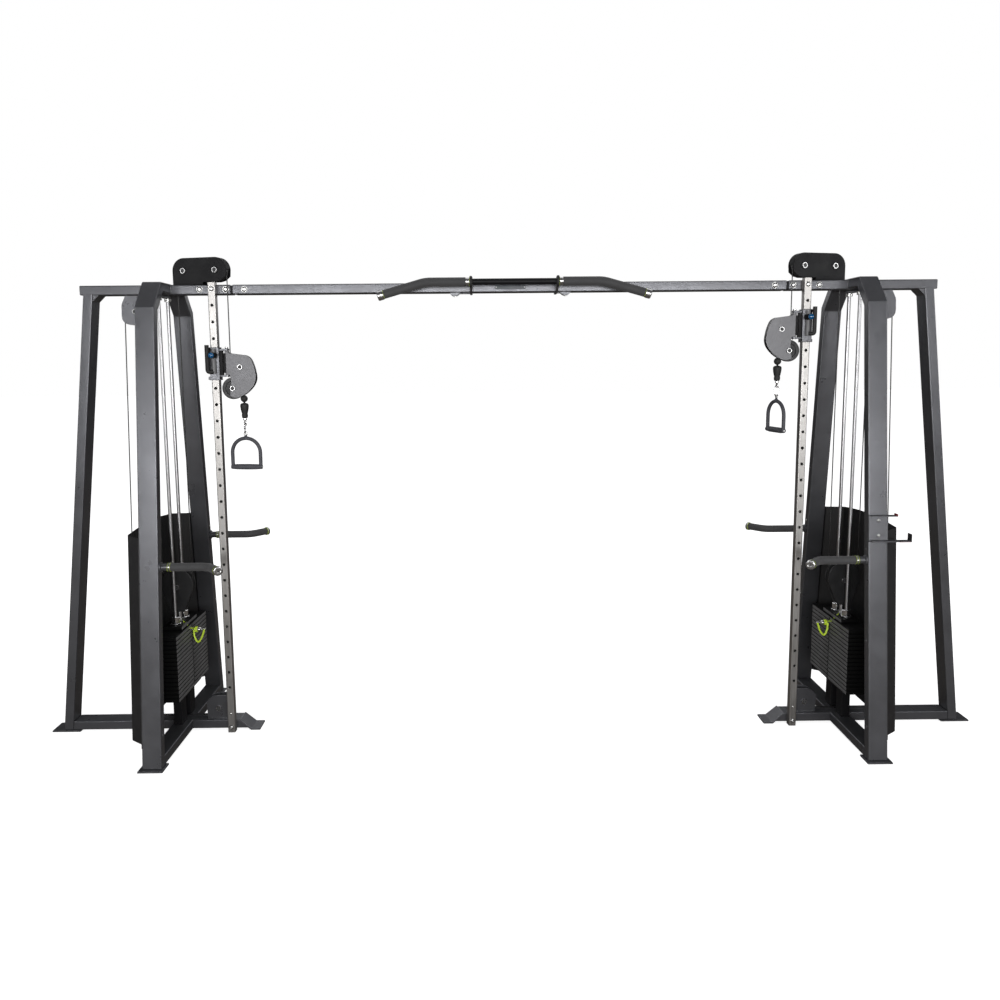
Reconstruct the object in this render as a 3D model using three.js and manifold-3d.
// Cable crossover machine: two weight-stack towers joined by a crossbeam with a pull-up bar.
// Units mm, +Z up, +X to the user's right, +Y to the back; origin on the floor, centred between
// the towers. Each tower is described at +X (inner = towards x = 0); the left one is its mirror.
import * as THREE from 'three';
import { mergeVertices } from 'three/addons/utils/BufferGeometryUtils.js';
import Module from 'manifold-3d';

const wasm = await Module();
wasm.setup();

// ---------------- driving dimensions ----------------
const GAP = 0.3;                         // assembly clearance between neighbouring pieces
const TUBE_W = 85, TUBE_T = 43;          // A-frame tube section; the beams share its thickness
const BASE_Z0 = 8, BASE_Z1 = BASE_Z0 + TUBE_T;       // base members, above the foot plates
const BEAM_Z0 = 2078, BEAM_Z1 = BEAM_Z0 + TUBE_T;    // top beam
const BEAM_Y = 42;                       // half depth of base and top beams
const BEAM_IN_X = 1276, BEAM_OUT_X = 1962;           // ends of the tower top beam
const BOLT_Z = 2100;                     // height of the bolt heads along the top
const FRAME_X0 = 1547.5, FRAME_X1 = FRAME_X0 + TUBE_W; // A-frame, inner and outer faces
const FOOT_Y = 456, FOLD_Y = 254, FOLD_Z = 2013;     // A-frame outer line: foot and fold
const TOP_Y = 155, TOP_Z = 2126;         // A-frame outer line: top corner
const LEG_BOTTOM_X = 2171, LEG_TOP_X = 1946;         // outer edge of the outer leg
const LEG_W = 43.6;                      // width of the outer leg along X

const RAIL_X = 1352, RAIL_W = 34, RAIL_WALL = 3;
const RAIL_Y1 = -BEAM_Y - GAP, RAIL_Y0 = RAIL_Y1 - 35;
const RAIL_Z0 = 2, RAIL_Z1 = 2129;
const HOLE_TOP = 2027, HOLE_PITCH = 75, HOLE_COUNT = 25, HOLE_R = 6.5;

const STACK_X = 1599, STACK_Z0 = 208;    // weight stack centre and underside
const ROD_Y = 58, ROD_R = 8;             // guide rods
const PLATE_W = 110, PLATE_L = 424, PLATE_T = 19.5;
const REST_COUNT = 14, LIFT_COUNT = 2;   // resting and selected plates
const SPLIT_Z = STACK_Z0 + REST_COUNT * PLATE_T;
const STACK_TOP = STACK_Z0 + PLATE_T * (REST_COUNT + LIFT_COUNT);
const SELECTOR_Z = SPLIT_Z + GAP + PLATE_T * 0.5;
const HEAD_Z = STACK_TOP + GAP * 2;      // underside of the head plate

// pulley pitch radii and centres
const TOP_PULLEY_R = 46, TOP_PULLEY_Z = 2185;
const LIFT_R = 70, LIFT_Z = 705;         // stack pulley
const LIFT_X = STACK_X - LIFT_R;         // cable line on the inner side of the stack pulley
const DROP_R = 54, DROP_X = LIFT_X + 2 * LIFT_R + DROP_R, DROP_Z = 2005;
const BASE_R = 42, BASE_IN_X = 1426, BASE_OUT_X = 1788, BASE_PULLEY_Z = 101;
const CABLE_X = 1284, CABLE_Y = -60, CABLE_R = 2.5;  // cable line beside the rail
const SWIVEL_R = 46;
const UPPER_X = CABLE_X - SWIVEL_R, UPPER_DROP = 54; // swivel pulleys; drops below the pin line
const LOWER_X = 1275, LOWER_DROP = 151;
const HINGE_X = 1300;                    // swivel hinge line
const HOOK_X = LOWER_X - SWIVEL_R, BALL_DROP = 199;  // ball stop, below the pin line

// pinHole: rail hole, counted down from the top one, that holds the carriage
const TOWERS = [
  { tag: 'L', mirrored: true, pinHole: 3, hookTurn: 6 },
  { tag: 'R', mirrored: false, pinHole: 1, hookTurn: -78 },
];

const PAINT = { color: 0x1d1e20, roughness: 0.45, metalness: 0.55 };
const STEEL = { color: 0xb8b5b0, roughness: 0.32, metalness: 0.9 };
const CHROME = { color: 0xdcdcdc, roughness: 0.12, metalness: 1.0 };
const PLATE = { color: 0x3a3b3d, roughness: 0.5, metalness: 0.5 };
const PLASTIC = { color: 0x141415, roughness: 0.5, metalness: 0.0 };
const RUBBER = { color: 0x2c2c2e, roughness: 0.8, metalness: 0.0 };
const SILVER = { color: 0x8f9094, roughness: 0.4, metalness: 0.7 };
const BLUE = { color: 0x0a5c9c, roughness: 0.3, metalness: 0.1 };
const LIME = { color: 0xc6dc2c, roughness: 0.5, metalness: 0.0 };
const CABLE = { color: 0x101010, roughness: 0.4, metalness: 0.0 };

// ---------------- solids and geometries ----------------
const radians = (degrees) => degrees * Math.PI / 180;

function toSolid(shape) {
  if (!shape.isBufferGeometry) return shape;
  shape.deleteAttribute('normal');
  shape.deleteAttribute('uv');
  const merged = mergeVertices(shape, 1e-4);
  const mesh = new wasm.Mesh({
    numProp: 3,
    vertProperties: new Float32Array(merged.attributes.position.array),
    triVerts: new Uint32Array(merged.index.array),
  });
  mesh.merge();
  return new wasm.Manifold(mesh);
}

function toGeometry(solid) {
  const mesh = solid.getMesh();
  const geometry = new THREE.BufferGeometry();
  const positions = new Float32Array(mesh.vertProperties);
  geometry.setAttribute('position', new THREE.BufferAttribute(positions, 3));
  geometry.setIndex(new THREE.BufferAttribute(new Uint32Array(mesh.triVerts), 1));
  return geometry;
}

const fuse = (...shapes) => shapes.map(toSolid).reduce((a, b) => a.add(b));
const cut = (body, ...tools) => tools.map(toSolid).reduce((a, b) => a.subtract(b), toSolid(body));

// ---------------- basic shapes ----------------
function box(x0, x1, y0, y1, z0, z1) {
  const geometry = new THREE.BoxGeometry(Math.abs(x1 - x0), Math.abs(y1 - y0), Math.abs(z1 - z0));
  return geometry.translate((x0 + x1) / 2, (y0 + y1) / 2, (z0 + z1) / 2);
}

const toVectors = (points) => points.map(([x, y]) => new THREE.Vector2(x, y));

function extrude(points, depth) {
  const shape = new THREE.Shape(toVectors(points));
  return new THREE.ExtrudeGeometry(shape, { depth, bevelEnabled: false, steps: 1 });
}

// outline in X-Z, thickness along Y
const prismXZ = (points, y0, y1) =>
  extrude(points, y1 - y0).rotateX(Math.PI / 2).translate(0, y1, 0);

// outline in Y-Z, thickness along X
const prismYZ = (points, x0, x1) =>
  extrude(points, x1 - x0).rotateX(Math.PI / 2).rotateZ(Math.PI / 2).translate(x0, 0, 0);

// round bars along each axis
const barX = (y, z, radius, x0, x1, sides) =>
  new THREE.CylinderGeometry(radius, radius, x1 - x0, sides)
    .rotateZ(Math.PI / 2).translate((x0 + x1) / 2, y, z);
const barY = (x, z, radius, y0, y1, sides = 8) =>
  new THREE.CylinderGeometry(radius, radius, y1 - y0, sides).translate(x, (y0 + y1) / 2, z);
const barZ = (x, y, radius, z0, z1, sides = 8) =>
  new THREE.CylinderGeometry(radius, radius, z1 - z0, sides)
    .rotateX(Math.PI / 2).translate(x, y, (z0 + z1) / 2);

// points of an arc, angles in degrees
function arc(centreX, centreZ, radius, start, end, steps) {
  return Array.from({ length: steps + 1 }, (_, i) => {
    const angle = radians(start + (end - start) * i / steps);
    return [centreX + radius * Math.cos(angle), centreZ + radius * Math.sin(angle)];
  });
}

// the same shape twice, from `near` to `far` on either side of a Y plane
const pairY = (make, near, far, centre = 0) =>
  [make(centre - far, centre - near), make(centre + near, centre + far)];

const cheeks = (outline, near, far, centre) =>
  pairY((y0, y1) => prismXZ(outline, y0, y1), near, far, centre);

// axle along Y with a thicker hub at each end
function axle({ x, z, y = 0, radius, half, hubRadius, hubNear, hubFar = half }) {
  const hubs = pairY((y0, y1) => barY(x, z, hubRadius, y0, y1), hubNear, hubFar, y);
  return [barY(x, z, radius, y - half, y + half), ...hubs];
}

// a vertical cylinder on each guide rod line
const atRods = (radius, z0, z1, sides) =>
  [-ROD_Y, ROD_Y].map((y) => barZ(STACK_X, y, radius, z0, z1, sides));

// path through given points, with one swept section at each
class SectionPath extends THREE.Curve {
  constructor(points) {
    super();
    this.points = points;
  }

  indexAt(t) {
    return Math.round(t * (this.points.length - 1));
  }

  getPointAt(t) {
    return this.points[this.indexAt(t)];
  }

  // bisector of the two neighbouring directions
  getTangentAt(t) {
    const { points } = this, i = this.indexAt(t), tangent = new THREE.Vector3();
    if (i > 0) tangent.add(points[i].clone().sub(points[i - 1]).normalize());
    if (i < points.length - 1) tangent.add(points[i + 1].clone().sub(points[i]).normalize());
    return tangent.normalize();
  }
}

// round tube along a polyline; `bend` is how far from a corner its rounding starts,
// `steps` the divisions of each rounding (both unused on a straight tube)
function tube(stations, radius, { sides, steps, bend }) {
  const corners = stations.map((p) => new THREE.Vector3(...p));
  const last = corners.length - 1;
  const path = [corners[0]];
  for (let i = 1; i < last; i++) {
    const corner = corners[i];
    const back = path[path.length - 1].clone().sub(corner);
    const ahead = corners[i + 1].clone().sub(corner);
    const reach = Math.min(bend, back.length() * 0.49, ahead.length() * 0.49);
    const start = corner.clone().add(back.normalize().multiplyScalar(reach));
    const end = corner.clone().add(ahead.normalize().multiplyScalar(reach));
    path.push(...new THREE.QuadraticBezierCurve3(start, corner, end).getPoints(steps));
  }
  path.push(corners[last]);

  const section = new THREE.Shape(Array.from({ length: sides }, (_, i) => {
    const angle = 2 * Math.PI * i / sides;
    return new THREE.Vector2(radius * Math.cos(angle), radius * Math.sin(angle));
  }));
  section.closePath();
  return new THREE.ExtrudeGeometry(section, {
    steps: path.length - 1, extrudePath: new SectionPath(path), bevelEnabled: false,
  });
}

// grooved pulley about the Y axis
function pulley({ x, z, y = 0, pitch, width = 18, bore = 7.5, sides = 16 }) {
  const half = width / 2, rim = pitch + 4, groove = pitch - 3.2;
  const profile = [
    [bore, -half], [rim, -half], [groove, -3], [groove, 3], [rim, half], [bore, half],
    [bore, -half],
  ];
  return new THREE.LatheGeometry(toVectors(profile), sides).translate(x, y, z);
}

// ---------------- A-frame lines (Y-Z) ----------------
// front half of the outer line, from the foot up
const outerLine = [[-FOOT_Y, BASE_Z0], [-FOLD_Y, FOLD_Z], [-TOP_Y, TOP_Z]];

const inward = (from, to) => new THREE.Vector2(to.y - from.y, from.x - to.x).normalize();

// the same line, one tube thickness inside
function insetLine() {
  const [foot, fold, top, middle] = toVectors([...outerLine, [0, TOP_Z]]);
  const insetCorner = (before, corner, after) => {
    const a = inward(before, corner), b = inward(corner, after);
    const point = corner.clone().add(a.clone().add(b).multiplyScalar(TUBE_T / (1 + a.dot(b))));
    return [point.x, point.y];
  };
  return [
    [foot.x + TUBE_T / inward(foot, fold).x, BASE_Z0],
    insetCorner(foot, fold, top),
    insetCorner(fold, top, middle),
  ];
}
const innerLine = insetLine();

const frontFaceY = (z) => -FOOT_Y + (z - BASE_Z0) * (FOOT_Y - FOLD_Y) / (FOLD_Z - BASE_Z0);

// ---------------- frame pieces ----------------
// welded base: long member, cross member, feet, stack posts, pulley cheeks
function base() {
  const crossHalf = -innerLine[0][0] - GAP - 5;
  const footTop = BASE_Z0 - GAP;
  const shelfZ = STACK_Z0 - 6 - GAP;       // underside of the shelf under the stack
  const weldZ = BASE_Z1 - 1;               // parts on top sink this far into the member
  const outerCheekR = 38;
  const innerCheek = [
    [1480, weldZ], [1484, 118], ...arc(BASE_IN_X, BASE_PULLEY_Z, 66, 25, 90, 5),
    [1378, 167], [1378, weldZ],
  ];
  const outerCheek = [
    [BASE_OUT_X - outerCheekR, weldZ], [BASE_OUT_X - outerCheekR, BASE_PULLEY_Z],
    ...arc(BASE_OUT_X, BASE_PULLEY_Z, outerCheekR, 170, 10, 6),
    [BASE_OUT_X + outerCheekR, weldZ],
  ];
  const body = fuse(
    prismXZ([[1318, BASE_Z1], [1270, BASE_Z0], [2126.8, BASE_Z0], [2122.1, BASE_Z1]],
      -BEAM_Y, BEAM_Y),
    box(1548, 1632, -crossHalf, crossHalf, BASE_Z0, BASE_Z1),
    // bent plate under the inner end
    prismXZ([[1223, 0], [1268, 0], [1322, 47], [1317, 52], [1264, 8], [1223, 8]],
      -BEAM_Y - 6, BEAM_Y + 6),
    // foot plates of the A-frame and their upright tabs
    ...pairY((y0, y1) => box(1538, 1648, y0, y1, 0, footTop), 392, 474),
    ...pairY((y0, y1) => box(1575, 1605, y0, y1, 0, BASE_Z0 + 4), 392, 410),
    // foot plate of the outer leg and its tab
    box(2090, 2226, -48, 48, 0, footTop),
    box(2092, 2116, -30, 30, 2, BASE_Z0 + 4),
    // posts round the guide rods, carrying the shelf
    ...pairY((y0, y1) => box(STACK_X - 20, STACK_X + 20, y0, y1, weldZ, shelfZ), 30, 94),
    box(STACK_X - 50, STACK_X + 50, -110, 110, shelfZ - 0.01, STACK_Z0 - GAP),
    ...cheeks(innerCheek, 18, 23),
    ...axle({ x: BASE_IN_X, z: BASE_PULLEY_Z, radius: 7, half: 30, hubRadius: 13, hubNear: 22 }),
    ...cheeks(outerCheek, 15, 20),
    barY(BASE_OUT_X, BASE_PULLEY_Z, 7, -27, 27),
  );
  return cut(body,
    barZ(1243, 0, 7, -2, 12), barZ(2200, 0, 7, -2, 12),        // floor bolt holes
    ...atRods(ROD_R + GAP, 60, STACK_Z0 + 2, 12));
}

// A-frame, top beam, outer leg and cheeks of the drop pulley
function upperFrame() {
  const flip = (points) => points.map(([y, z]) => [-y, z]);
  const [foot, fold, top] = outerLine;
  const outline = [
    foot, ...innerLine, ...flip(innerLine).reverse(), ...flip(outerLine), top, fold,
  ];
  const legInX = LEG_TOP_X - LEG_W;        // inner edge of the outer leg at the top
  const dropCheek = [
    [1764, BEAM_Z0 + 1], [1784, 2038], [1786, 1976], [1777, 1956],
    [1750, 1944], [1690, 1942], [1690, BEAM_Z0 + 1],
  ];
  const body = fuse(
    prismYZ(outline, FRAME_X0, FRAME_X1),
    box(BEAM_IN_X, BEAM_OUT_X, -BEAM_Y, BEAM_Y, BEAM_Z0, BEAM_Z1),
    prismXZ([
      [LEG_BOTTOM_X - LEG_W, BASE_Z0], [LEG_BOTTOM_X, BASE_Z0],
      [LEG_TOP_X, BEAM_Z0 + 10], [legInX, BEAM_Z0 + 10],
    ], -BEAM_Y, BEAM_Y),
    // gusset between leg and beam
    prismXZ([[legInX - 26, BEAM_Z0 + 1], [legInX + 10, BEAM_Z0 - 34], [legInX + 12, BEAM_Z0 + 1]],
      -BEAM_Y + 4, BEAM_Y - 4),
    ...cheeks(dropCheek, 14, 19),
    ...axle({ x: DROP_X, z: DROP_Z, radius: 7, half: 26, hubRadius: 13, hubNear: 18 }),
    ...[1416, 1297].map((x) => barY(x, BOLT_Z, 13, -50, -41)));
  return cut(body,
    // socket for the end of the crossbeam, and the cable hole
    box(BEAM_IN_X - 5, 1432, -38.5, 38.5, BEAM_Z0 + 3.5, BEAM_Z1 - 3.5),
    barZ(LIFT_X, 0, 8, BEAM_Z0 - 5, BEAM_Z1 + 5, 10));
}

// height-adjustment rail: closed at the top, holes in its front face
function rail() {
  const half = RAIL_W / 2, bore = half - RAIL_WALL;
  const holes = Array.from({ length: HOLE_COUNT }, (_, i) => barY(
    RAIL_X, HOLE_TOP - HOLE_PITCH * i, HOLE_R, RAIL_Y0 - 5, RAIL_Y0 + RAIL_WALL + 3));
  const body = cut(
    box(RAIL_X - half, RAIL_X + half, RAIL_Y0, RAIL_Y1, RAIL_Z0, RAIL_Z1),
    box(RAIL_X - bore, RAIL_X + bore, RAIL_Y0 + RAIL_WALL, RAIL_Y1 - RAIL_WALL,
      RAIL_Z0 - 5, RAIL_Z1 - RAIL_WALL),
    ...holes);
  return fuse(body,
    barY(RAIL_X, BOLT_Z, 12, RAIL_Y0 - 7, RAIL_Y0 + 1),
    barY(RAIL_X, 28, 10, RAIL_Y0 - 6, RAIL_Y0 + 1));
}

// guide rods, tied at the top
function guideRods() {
  const top = BEAM_Z0 - GAP, tieHalf = ROD_Y + 12;
  return fuse(
    ...atRods(ROD_R, 62, top, 10),
    box(STACK_X - 12, STACK_X + 12, -tieHalf, tieHalf, BEAM_Z0 - 12, top));
}

// bent sheet on the outer side of the stack
function shroud() {
  const thickness = 3, bottomZ = 97, faceX = 1712, edgeX = FRAME_X1 + GAP;
  const bottomY = frontFaceY(bottomZ), topY = frontFaceY(1010);
  // columns of the front half: x, y at the bottom, y at the top, top height
  const front = [
    [edgeX, bottomY + 6, topY + 6, 1003],
    [edgeX, bottomY + 36, topY + 36, 1004],
    [faceX, bottomY + 96, topY + 84, 1011],
    [faceX, -150, -140, 1022],
  ];
  const rear = front.map(([x, low, high, z]) => [x, -low, -high, z]).reverse();
  const columns = [...front, [faceX, 0, 0, 1027], ...rear];

  // four corners per column: inner bottom, inner top, outer bottom, outer top
  const positions = columns.flatMap(([x, low, high, z]) => [0, thickness].flatMap(
    (offset) => [x + offset, low, bottomZ, x + offset, high, z]));
  const at = (column, outer, top) => column * 4 + outer * 2 + top;
  const triangles = [];
  const quad = (a, b, c, d) => triangles.push(a, b, c, a, c, d);
  const end = columns.length - 1;
  for (let i = 0; i < end; i++) {
    const j = i + 1;
    quad(at(i, 1, 0), at(j, 1, 0), at(j, 1, 1), at(i, 1, 1));
    quad(at(j, 0, 0), at(i, 0, 0), at(i, 0, 1), at(j, 0, 1));
    quad(at(i, 1, 1), at(j, 1, 1), at(j, 0, 1), at(i, 0, 1));
    quad(at(i, 0, 0), at(j, 0, 0), at(j, 1, 0), at(i, 1, 0));
  }
  quad(at(0, 0, 0), at(0, 1, 0), at(0, 1, 1), at(0, 0, 1));
  quad(at(end, 1, 0), at(end, 0, 0), at(end, 0, 1), at(end, 1, 1));
  const geometry = new THREE.BufferGeometry();
  geometry.setAttribute('position', new THREE.Float32BufferAttribute(positions, 3));
  geometry.setIndex(triangles);
  return geometry;
}

// ---------------- weight stack ----------------
// a block of plates, with a V groove between neighbours
function plates(count, z0) {
  const chamferX = 4, chamferZ = 2.2;
  const edgeX = STACK_X - PLATE_W / 2, neckX = edgeX + chamferX;
  const topZ = z0 + count * PLATE_T;
  const left = [[neckX, z0 + 0.01]];
  for (let i = 0; i < count; i++) {
    const z = z0 + i * PLATE_T;
    left.push([edgeX, z + chamferZ], [edgeX, z + PLATE_T - chamferZ]);
    if (i < count - 1) left.push([neckX, z + PLATE_T]);
  }
  left.push([neckX, topZ - 0.01]);
  const right = left.map(([x, z]) => [2 * STACK_X - x, z]).reverse();
  return cut(
    prismXZ([...left, ...right], -PLATE_L / 2, PLATE_L / 2),
    ...atRods(ROD_R + 1, z0 - 5, topZ + 5, 8),
    barZ(STACK_X, 0, 11, z0 - 5, topZ + 5));
}

const selectorHole = () =>
  barX(0, SELECTOR_Z, 5.2, STACK_X - PLATE_W / 2 - 5, STACK_X + 30, 10);

// head plate with bushings, selector stem and the yoke of the stack pulley
function stackYoke() {
  const yokeZ = HEAD_Z + 64;
  const cheek = [
    [STACK_X - 30, yokeZ], ...arc(STACK_X, LIFT_Z + 12, 77, 205, -25, 9), [STACK_X + 30, yokeZ],
  ];
  const body = fuse(
    box(STACK_X - 45, STACK_X + 45, -105, 105, HEAD_Z, HEAD_Z + 16),
    ...atRods(19, HEAD_Z + 15, HEAD_Z + 52, 10),
    barZ(STACK_X, 0, 10, STACK_Z0 + 22, HEAD_Z + 90),
    box(STACK_X - 22, STACK_X + 22, -23, 23, yokeZ, yokeZ + 18),
    ...cheeks(cheek, 17, 22),
    ...axle({ x: STACK_X, z: LIFT_Z, radius: 8, half: 29, hubRadius: 14, hubNear: 21 }));
  return cut(body, ...atRods(ROD_R + 0.6, HEAD_Z - 5, HEAD_Z + 60, 10), selectorHole());
}

// selector pin with a loop handle
function selectorPin() {
  const faceX = STACK_X - PLATE_W / 2;
  // loop stations: y, height from the pin
  const loop = [[4, 0], [26, -6], [34, -40], [16, -62], [-2, -40], [6, -22]];
  return fuse(
    barX(0, SELECTOR_Z, 4.6, faceX - 20, STACK_X + 22, 10),
    barX(0, SELECTOR_Z, 11, faceX - 40, faceX - 18, 8),
    tube(loop.map(([y, z]) => [faceX - 32, y, SELECTOR_Z + z]), 3.6,
      { sides: 6, steps: 2, bend: 12 }));
}

// ---------------- top pulley housing ----------------
// Built along +X from the inner cable line, then turned in plan so that the cable falls
// beside the rail at one end and over the stack at the other.
const HOUSE_L = Math.hypot(LIFT_X - CABLE_X, -CABLE_Y);
const HOUSE_TURN = Math.atan2(-CABLE_Y, LIFT_X - CABLE_X);
const TOP_PULLEY_XS = [TOP_PULLEY_R, HOUSE_L - TOP_PULLEY_R];
const placeHousing = (geometry) =>
  geometry.rotateZ(HOUSE_TURN).translate(CABLE_X, CABLE_Y, 0);

function topHousing() {
  const footZ = 2121.4, outerR = 57, innerR = 54.5, endInset = 48;
  const nearArc = (radius, start, end) => arc(endInset, TOP_PULLEY_Z, radius, start, end, 4);
  const farArc = (radius, start, end) =>
    arc(HOUSE_L - endInset, TOP_PULLEY_Z, radius, start, end, 4);
  const cheek = [
    [-7, 2156], ...nearArc(outerR, 190, 90), ...farArc(outerR, 90, 0), [HOUSE_L + 9, footZ],
    [110, footZ], [110, 2132], [40, 2132], [16, 2138],
  ];
  const cover = [
    ...nearArc(outerR, 178, 90), ...farArc(outerR, 90, 0), [HOUSE_L + 9, footZ],
    [HOUSE_L + 6, footZ], ...farArc(innerR, 0, 90), ...nearArc(innerR, 90, 178),
  ];
  const axles = TOP_PULLEY_XS.flatMap((x) => axle({
    x, z: TOP_PULLEY_Z, radius: 7, half: 29, hubRadius: 14, hubNear: 21, hubFar: 28,
  }));
  const body = fuse(...cheeks(cheek, 17, 22), prismXZ(cover, -18, 18), ...axles);
  return placeHousing(toGeometry(body));
}

const topPulley = (x) => placeHousing(pulley({ x, z: TOP_PULLEY_Z, pitch: TOP_PULLEY_R }));

// ---------------- carriage and swivel (z is the height of the pin line) ----------------
const SLEEVE_Y0 = RAIL_Y0 - 6.5;           // front face of the carriage sleeve

// sleeve on the rail with its pull handle and hinge lugs
function carriage(z) {
  const x0 = RAIL_X - RAIL_W / 2 - 5, x1 = RAIL_X + RAIL_W / 2 + 5;
  const y0 = SLEEVE_Y0, y1 = RAIL_Y1 + 7;
  const lugY0 = CABLE_Y - 12, lugY1 = CABLE_Y + 12;
  const handle = [
    [RAIL_X + 2, y0 - 14, z - 74], [RAIL_X + 26, y0 - 20, z - 74],
    [RAIL_X + 26, y0 - 20, z + 44], [RAIL_X + 14, y0 - 2, z + 26],
  ];
  const body = fuse(
    box(x0, x1, y0, y1, z - 113, z + 36),
    barZ(RAIL_X, y0 - 4, 11, z - 82, z + 30, 10),              // latch tube
    barY(RAIL_X, z, 14, y0 - 22, y0 + 2, 12),                  // latch boss
    tube(handle, 8, { sides: 6, steps: 2, bend: 16 }),
    // upper and lower hinge lugs and the web between them
    box(HINGE_X - 13, x0 + 2, lugY0, lugY1, z + 20, z + 30),
    barZ(HINGE_X, CABLE_Y, 12, z + 20, z + 30),
    box(HINGE_X - 2, x0 + 2, lugY0, lugY1, z - 98, z - 90),
    barZ(HINGE_X, CABLE_Y, 12, z - 98, z - 90),
    box(1317.5, x0 + 1, lugY0, lugY1, z - 91, z + 21),
    box(1374, 1396, y1 - 2, 10, z - 112, z - 98));             // anchor of the lower cable
  return cut(body,
    box(x0 + 4.4, x1 - 4.4, RAIL_Y0 - 0.6, RAIL_Y1 + 0.6, z - 150, z + 80),
    barY(RAIL_X, z, 6.2, y0 - 40, RAIL_Y0),
    barZ(HINGE_X, CABLE_Y, 4.4, z - 120, z + 40, 10),
    barZ(CABLE_X, CABLE_Y, 5, z + 10, z + 40),
    barZ(BASE_IN_X - BASE_R, 0, 2.9, z - 130, z - 90));
}

const popPin = (z) => fuse(
  barY(RAIL_X, z, 5.6, SLEEVE_Y0 - 36, RAIL_Y0 - 1),
  barY(RAIL_X, z, 13, SLEEVE_Y0 - 52, SLEEVE_Y0 - 35, 12));

// swivel outlines: x, height from the pin line
const SWIVEL_CHEEK = [
  [1301, 19], [1281, 8], [1212, -1], [1196, -9], [1186, -23], [1175, -53], [1167, -95],
  [1169, -116], [1178, -137], [1195, -158], [1215, -176], [1236, -188], [1256, -195],
  [1275, -193], [1288, -185], [1284, -150], [1281, -122], [1283, -99], [1285, -98],
  [1285, -89.4], [1301, -89.4],
];
const SWIVEL_STRIP = [
  [1176, -56], [1168, -96], [1170, -116], [1179, -136], [1196, -157],
  [1200, -154], [1183, -133], [1174, -115], [1172, -96], [1180, -57],
];

// swivel bracket: two cheeks, hinge ears, axles
function swivel(z) {
  const raise = (points) => points.map(([x, height]) => [x, height + z]);
  const pulleyAxle = (x, drop) => axle({
    x, z: z - drop, y: CABLE_Y, radius: 5.6, half: 22, hubRadius: 12, hubNear: 15,
  });
  const block = (x0, x1, halfY, z0, z1) =>
    box(HINGE_X + x0, HINGE_X + x1, CABLE_Y - halfY, CABLE_Y + halfY, z + z0, z + z1);
  const hingePin = (radius, z0, z1) => barZ(HINGE_X, CABLE_Y, radius, z + z0, z + z1, 10);
  const body = fuse(
    ...cheeks(raise(SWIVEL_CHEEK), 12.5, 16, CABLE_Y),
    block(-8, 7, 14, 8, 19.4),               // upper ear
    block(-7, 7, 14, -89.4, -80),            // lower ear
    block(-6, 13.5, 7, -81, 9),              // web between the ears
    hingePin(4, 12, 36), hingePin(7.5, 30.6, 36), hingePin(4, -97, -84),
    prismXZ(raise(SWIVEL_STRIP), CABLE_Y - 13, CABLE_Y + 13),
    ...pulleyAxle(UPPER_X, UPPER_DROP),
    ...pulleyAxle(LOWER_X, LOWER_DROP));
  return cut(body, barZ(CABLE_X, CABLE_Y, 4.2, z - 2, z + 30));
}

const swivelPulley = (x, z) => pulley({ x, z, y: CABLE_Y, pitch: SWIVEL_R, bore: 6.1 });

// ---------------- cable end and handles ----------------
// ball stop, cone, swivel eye and snap hook; z is the centre of the ball
function cableEnd(z, hookTurn) {
  // radius, height from the ball centre
  const profile = [
    [0, -96], [3.4, -96], [4.5, -90], [13, -88], [14, -76], [12.5, -70], [19, -32], [17, -24],
    [5, -20], [4, -15.4], [11.7, -11.7], [16.5, 0], [11.7, 11.7], [2.6, 15.8], [0, 15.8],
  ];
  // y from the cable line, height from the ball centre
  const wire = [[-2, -108], [-9, -118], [-9, -160], [9, -160], [9, -118], [2, -108]];
  const stations = wire.map(([y, height]) => [HOOK_X, CABLE_Y + y, z + height]);
  const hook = tube(stations, 3, { sides: 6, steps: 2, bend: 6 })
    .translate(-HOOK_X, -CABLE_Y, 0)
    .rotateZ(radians(hookTurn))
    .translate(HOOK_X, CABLE_Y, 0);
  return fuse(
    new THREE.LatheGeometry(toVectors(profile), 10)
      .rotateX(Math.PI / 2).translate(HOOK_X, CABLE_Y, z),
    barZ(HOOK_X, CABLE_Y, 3, z - 112, z - 92),
    hook);
}

// D-handle, built round its hanging eye; z is the height of the eye
function dHandle(z, hookTurn) {
  // x, z of the loop
  const loop = [
    [-65, -155], [-67, -100], [-60, -62], [-38, -33], [0, -22],
    [38, -33], [60, -62], [67, -100], [65, -155],
  ];
  const body = fuse(
    tube(loop.map(([x, height]) => [x, 0, height]), 7.5, { sides: 6, steps: 1, bend: 14 }),
    barX(0, -155, 12.5, -74, 74, 10),
    box(-9, 9, -4, 4, -24, -4),
    barY(0, -1, 9.5, -4, 4, 10));
  return toGeometry(cut(body, barY(0, 0, 4.9, -10, 10, 10)))
    .rotateZ(radians(hookTurn))
    .translate(HOOK_X, CABLE_Y, z);
}

// stabilising grip on an A-frame leg; side is -1 for the front leg, 1 for the rear
function grip(side) {
  const z = 884, y = side * (Math.abs(frontFaceY(z)) - 21), endX = FRAME_X0 - GAP;
  return fuse(
    tube([[endX, y, z], [1335, y, z], [1272, y + side * 78, z]], 18,
      { sides: 10, steps: 3, bend: 34 }),
    barX(y, z, 22, FRAME_X0 - 10, endX, 10));
}

// ---------------- cables ----------------
// stations just outside a pulley, so that the chords between them touch its pitch circle
function wrap(x, z, radius, start, end, steps) {
  const halfStep = radians(Math.abs(end - start) / 2 / steps);
  return arc(x, z, radius / Math.cos(halfStep), start, end, steps).map((p) => [p[0], 0, p[1]]);
}

const cable = (stations) => tube(stations, CABLE_R, { sides: 6, steps: 1, bend: 1 });

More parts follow.
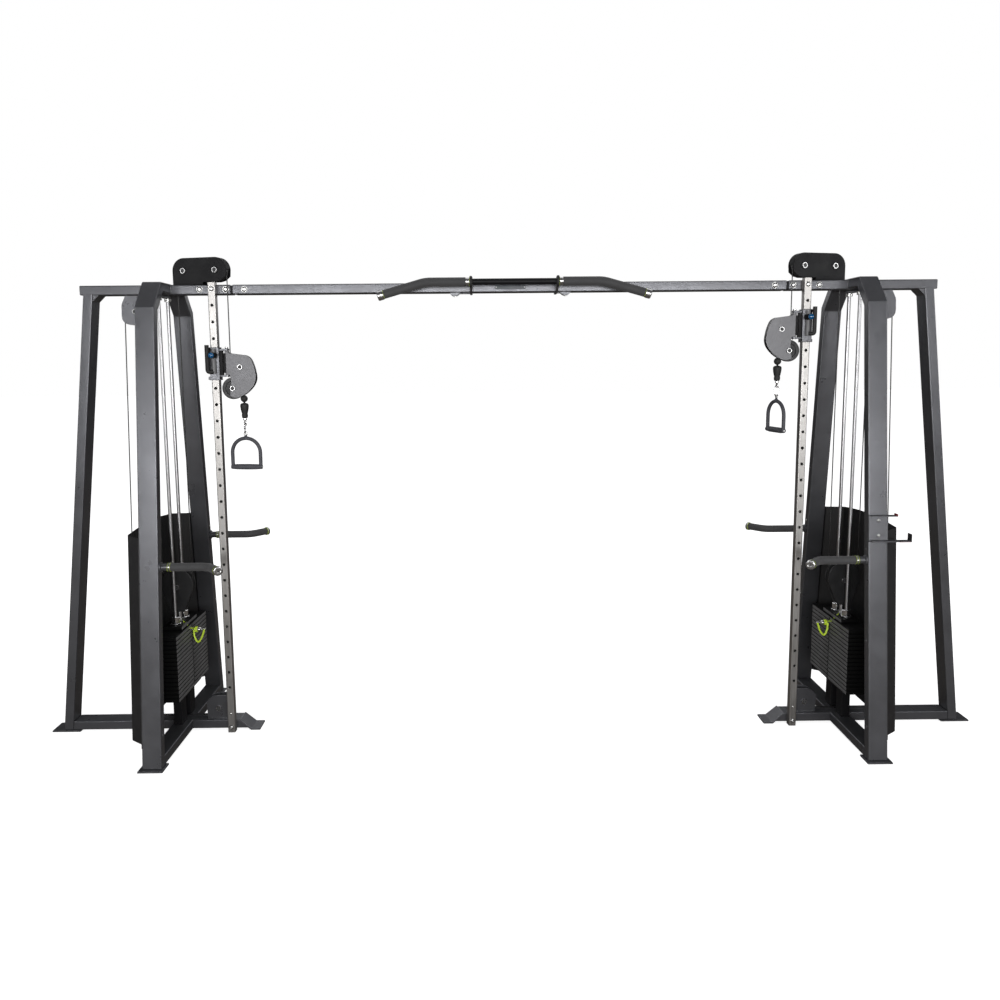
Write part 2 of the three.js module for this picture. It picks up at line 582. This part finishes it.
const liftCable = () => cable([
  [LIFT_X, 0, TOP_PULLEY_Z],
  ...wrap(STACK_X, LIFT_Z, LIFT_R, 180, 360, 8),
  [LIFT_X + 2 * LIFT_R, 0, DROP_Z],
]);

const baseCable = () => cable([
  [DROP_X - DROP_R, 0, DROP_Z + 3],
  ...wrap(DROP_X, DROP_Z, DROP_R, 172, 0, 7),
  ...wrap(BASE_OUT_X, BASE_PULLEY_Z, BASE_R, 2, -90, 4),
  ...wrap(BASE_IN_X, BASE_PULLEY_Z, BASE_R, -90, -180, 4),
]);

// ---------------- shared pieces ----------------
// crossbeam with a narrower core entering the tower beams
function crossbeam() {
  const endX = BEAM_IN_X - 8;
  return fuse(
    box(-endX, endX, -BEAM_Y, BEAM_Y, BEAM_Z0, BEAM_Z1),
    box(-1424, 1424, -38, 38, BEAM_Z0 + 4, BEAM_Z1 - 4),
    ...[-1213, 1213].map((x) => barY(x, BOLT_Z, 13, -50, -41)),
    box(-70, 70, -44, -40, 2090, 2109));
}

// the bar and its brackets sit a little off the middle of the crossbeam
function pullupBar() {
  const y = -112, z = 2119, endZ = 2058, offset = 16;
  const bendX = 400, endX = 614;           // distances along X from the bar's middle
  const slope = (z - endZ) / (endX - bendX);
  const clearZ = BEAM_Z0 - GAP, clearY = -BEAM_Y - GAP;
  const at = (side, distance) => offset + side * distance;
  const span = (side, from, to) => [at(side, from), at(side, to)].sort((a, b) => a - b);
  const sloped = (side, distance) => [at(side, distance), y, z - (distance - bendX) * slope];
  const bracket = [
    [y - 12, z - 20], [y + 12, z - 23], [-BEAM_Y - 6, 2071], [BEAM_Y - 12, 2070],
    [BEAM_Y - 12, clearZ], [clearY, clearZ], [clearY, 2112], [y + 16, z + 8],
  ];
  // x from the saddle's middle, height
  const saddle = [[-24, clearZ], [-18, 2069], [-7, 2062.5], [7, 2062.5], [18, 2069], [24, clearZ]];
  const sleeve = (side) => [
    tube([sloped(side, 586), [at(side, bendX), y, z], [at(side, 219), y, z]], 20,
      { sides: 10, steps: 3, bend: 24 }),
    tube([sloped(side, 615), sloped(side, 588)], 22, { sides: 10 }),
    barX(y, z, 17.5, ...span(side, 200, 221), 12),
  ];
  const mount = (side) => [
    barX(y, z, 26, ...span(side, 188, 201), 14),
    prismYZ(bracket, ...span(side, 188, 201)),
    prismXZ(saddle.map(([x, height]) => [side * 254 + x, height]), -30, 8),
    box(at(side, 190), side * 240, -30, 8, 2073, clearZ),
  ];
  const core = [
    [at(-1, endX), y, endZ], [at(-1, bendX), y, z], [at(1, bendX), y, z], [at(1, endX), y, endZ],
  ];
  return fuse(
    tube(core, 14, { sides: 8, steps: 3, bend: 22 }),
    ...[-1, 1].flatMap(sleeve),
    ...[-1, 1].flatMap(mount));
}

// accessory hook on the front face of the right front leg
function accessoryHook() {
  const face = (z) => frontFaceY(z) - GAP;
  const upperY = face(1082), lowerY = face(974);
  const backplate = [
    [face(968) - 4, 968], [face(968), 968], [face(1086), 1086], [face(1086) - 4, 1086],
  ];
  return fuse(
    prismYZ(backplate, 1549, 1631),
    // upper and lower arms, each with an upturned end
    box(1549, 1664, upperY - 30, upperY - 2, 1081, 1085),
    box(1659, 1664, upperY - 30, upperY - 2, 1081, 1092),
    box(1549, 1722, lowerY - 34, lowerY - 2, 971, 976),
    box(1717, 1722, lowerY - 34, lowerY - 2, 971, 1006),
    ...[1062, 996].map((z) => barY(1590, z, 7, face(z) - 9, face(z) - 1)));
}

// ---------------- assembly ----------------
function towerPieces(pinZ, hookTurn) {
  const ballZ = pinZ - BALL_DROP;
  const [topInX, topOutX] = TOP_PULLEY_XS;
  const basePulley = (x) => pulley({ x, z: BASE_PULLEY_Z, pitch: BASE_R });
  const stackPulley = { x: STACK_X, z: LIFT_Z, pitch: LIFT_R, width: 22, bore: 8.6, sides: 20 };
  return [
    ['base', base(), PAINT],
    ['upper_frame', upperFrame(), PAINT],
    ['rail', rail(), STEEL],
    ['guide_rods', guideRods(), CHROME],
    ['shroud', shroud(), PLASTIC],
    ['plates_resting', plates(REST_COUNT, STACK_Z0), PLATE],
    ['plates_lifted', cut(plates(LIFT_COUNT, SPLIT_Z + GAP), selectorHole()), PLATE],
    ['stack_yoke', stackYoke(), PLASTIC],
    ['stack_pulley', pulley(stackPulley), PLASTIC],
    ['selector_pin', selectorPin(), LIME],
    ['top_housing', topHousing(), PAINT],
    ['top_pulley_in', topPulley(topInX), PLASTIC],
    ['top_pulley_out', topPulley(topOutX), PLASTIC],
    ['drop_pulley', pulley({ x: DROP_X, z: DROP_Z, pitch: DROP_R }), PLASTIC],
    ['base_pulley_in', basePulley(BASE_IN_X), PLASTIC],
    ['base_pulley_out', basePulley(BASE_OUT_X), PLASTIC],
    ['carriage', carriage(pinZ), PAINT],
    ['pop_pin', popPin(pinZ), BLUE],
    ['swivel', swivel(pinZ), SILVER],
    ['swivel_pulley_up', swivelPulley(UPPER_X, pinZ - UPPER_DROP), PLASTIC],
    ['swivel_pulley_low', swivelPulley(LOWER_X, pinZ - LOWER_DROP), PLASTIC],
    ['cable_end', cableEnd(ballZ, hookTurn), CHROME],
    ['d_handle', dHandle(ballZ - 161, hookTurn), RUBBER],
    ['front_grip', grip(-1), RUBBER],
    ['rear_grip', grip(1), RUBBER],
    ['cable_top', barZ(CABLE_X, CABLE_Y, CABLE_R, pinZ - 52, TOP_PULLEY_Z, 6), CABLE],
    ['cable_lift', liftCable(), CABLE],
    ['cable_base', baseCable(), CABLE],
  ];
}

// mirror in X, swapping two corners of each triangle to keep its outside out
function mirrorX(geometry) {
  geometry.scale(-1, 1, 1);
  const index = geometry.index.array;
  for (let i = 0; i < index.length; i += 3) {
    [index[i], index[i + 1]] = [index[i + 1], index[i]];
  }
}

const root = new THREE.Group();
root.name = 'cable_crossover_machine';

function addPiece(name, shape, material, mirrored = false) {
  const geometry = toGeometry(toSolid(shape));
  if (mirrored) mirrorX(geometry);
  geometry.computeVertexNormals();
  const mesh = new THREE.Mesh(geometry, new THREE.MeshStandardMaterial(material));
  mesh.name = name;
  root.add(mesh);
}

for (const { tag, mirrored, pinHole, hookTurn } of TOWERS) {
  const pinZ = HOLE_TOP - HOLE_PITCH * pinHole;
  for (const [name, shape, material] of towerPieces(pinZ, hookTurn)) {
    addPiece(`${name}_${tag}`, shape, material, mirrored);
  }
}
addPiece('crossbeam', crossbeam(), PAINT);
addPiece('pullup_bar', pullupBar(), RUBBER);
addPiece('accessory_hook', accessoryHook(), PAINT);

export default root;
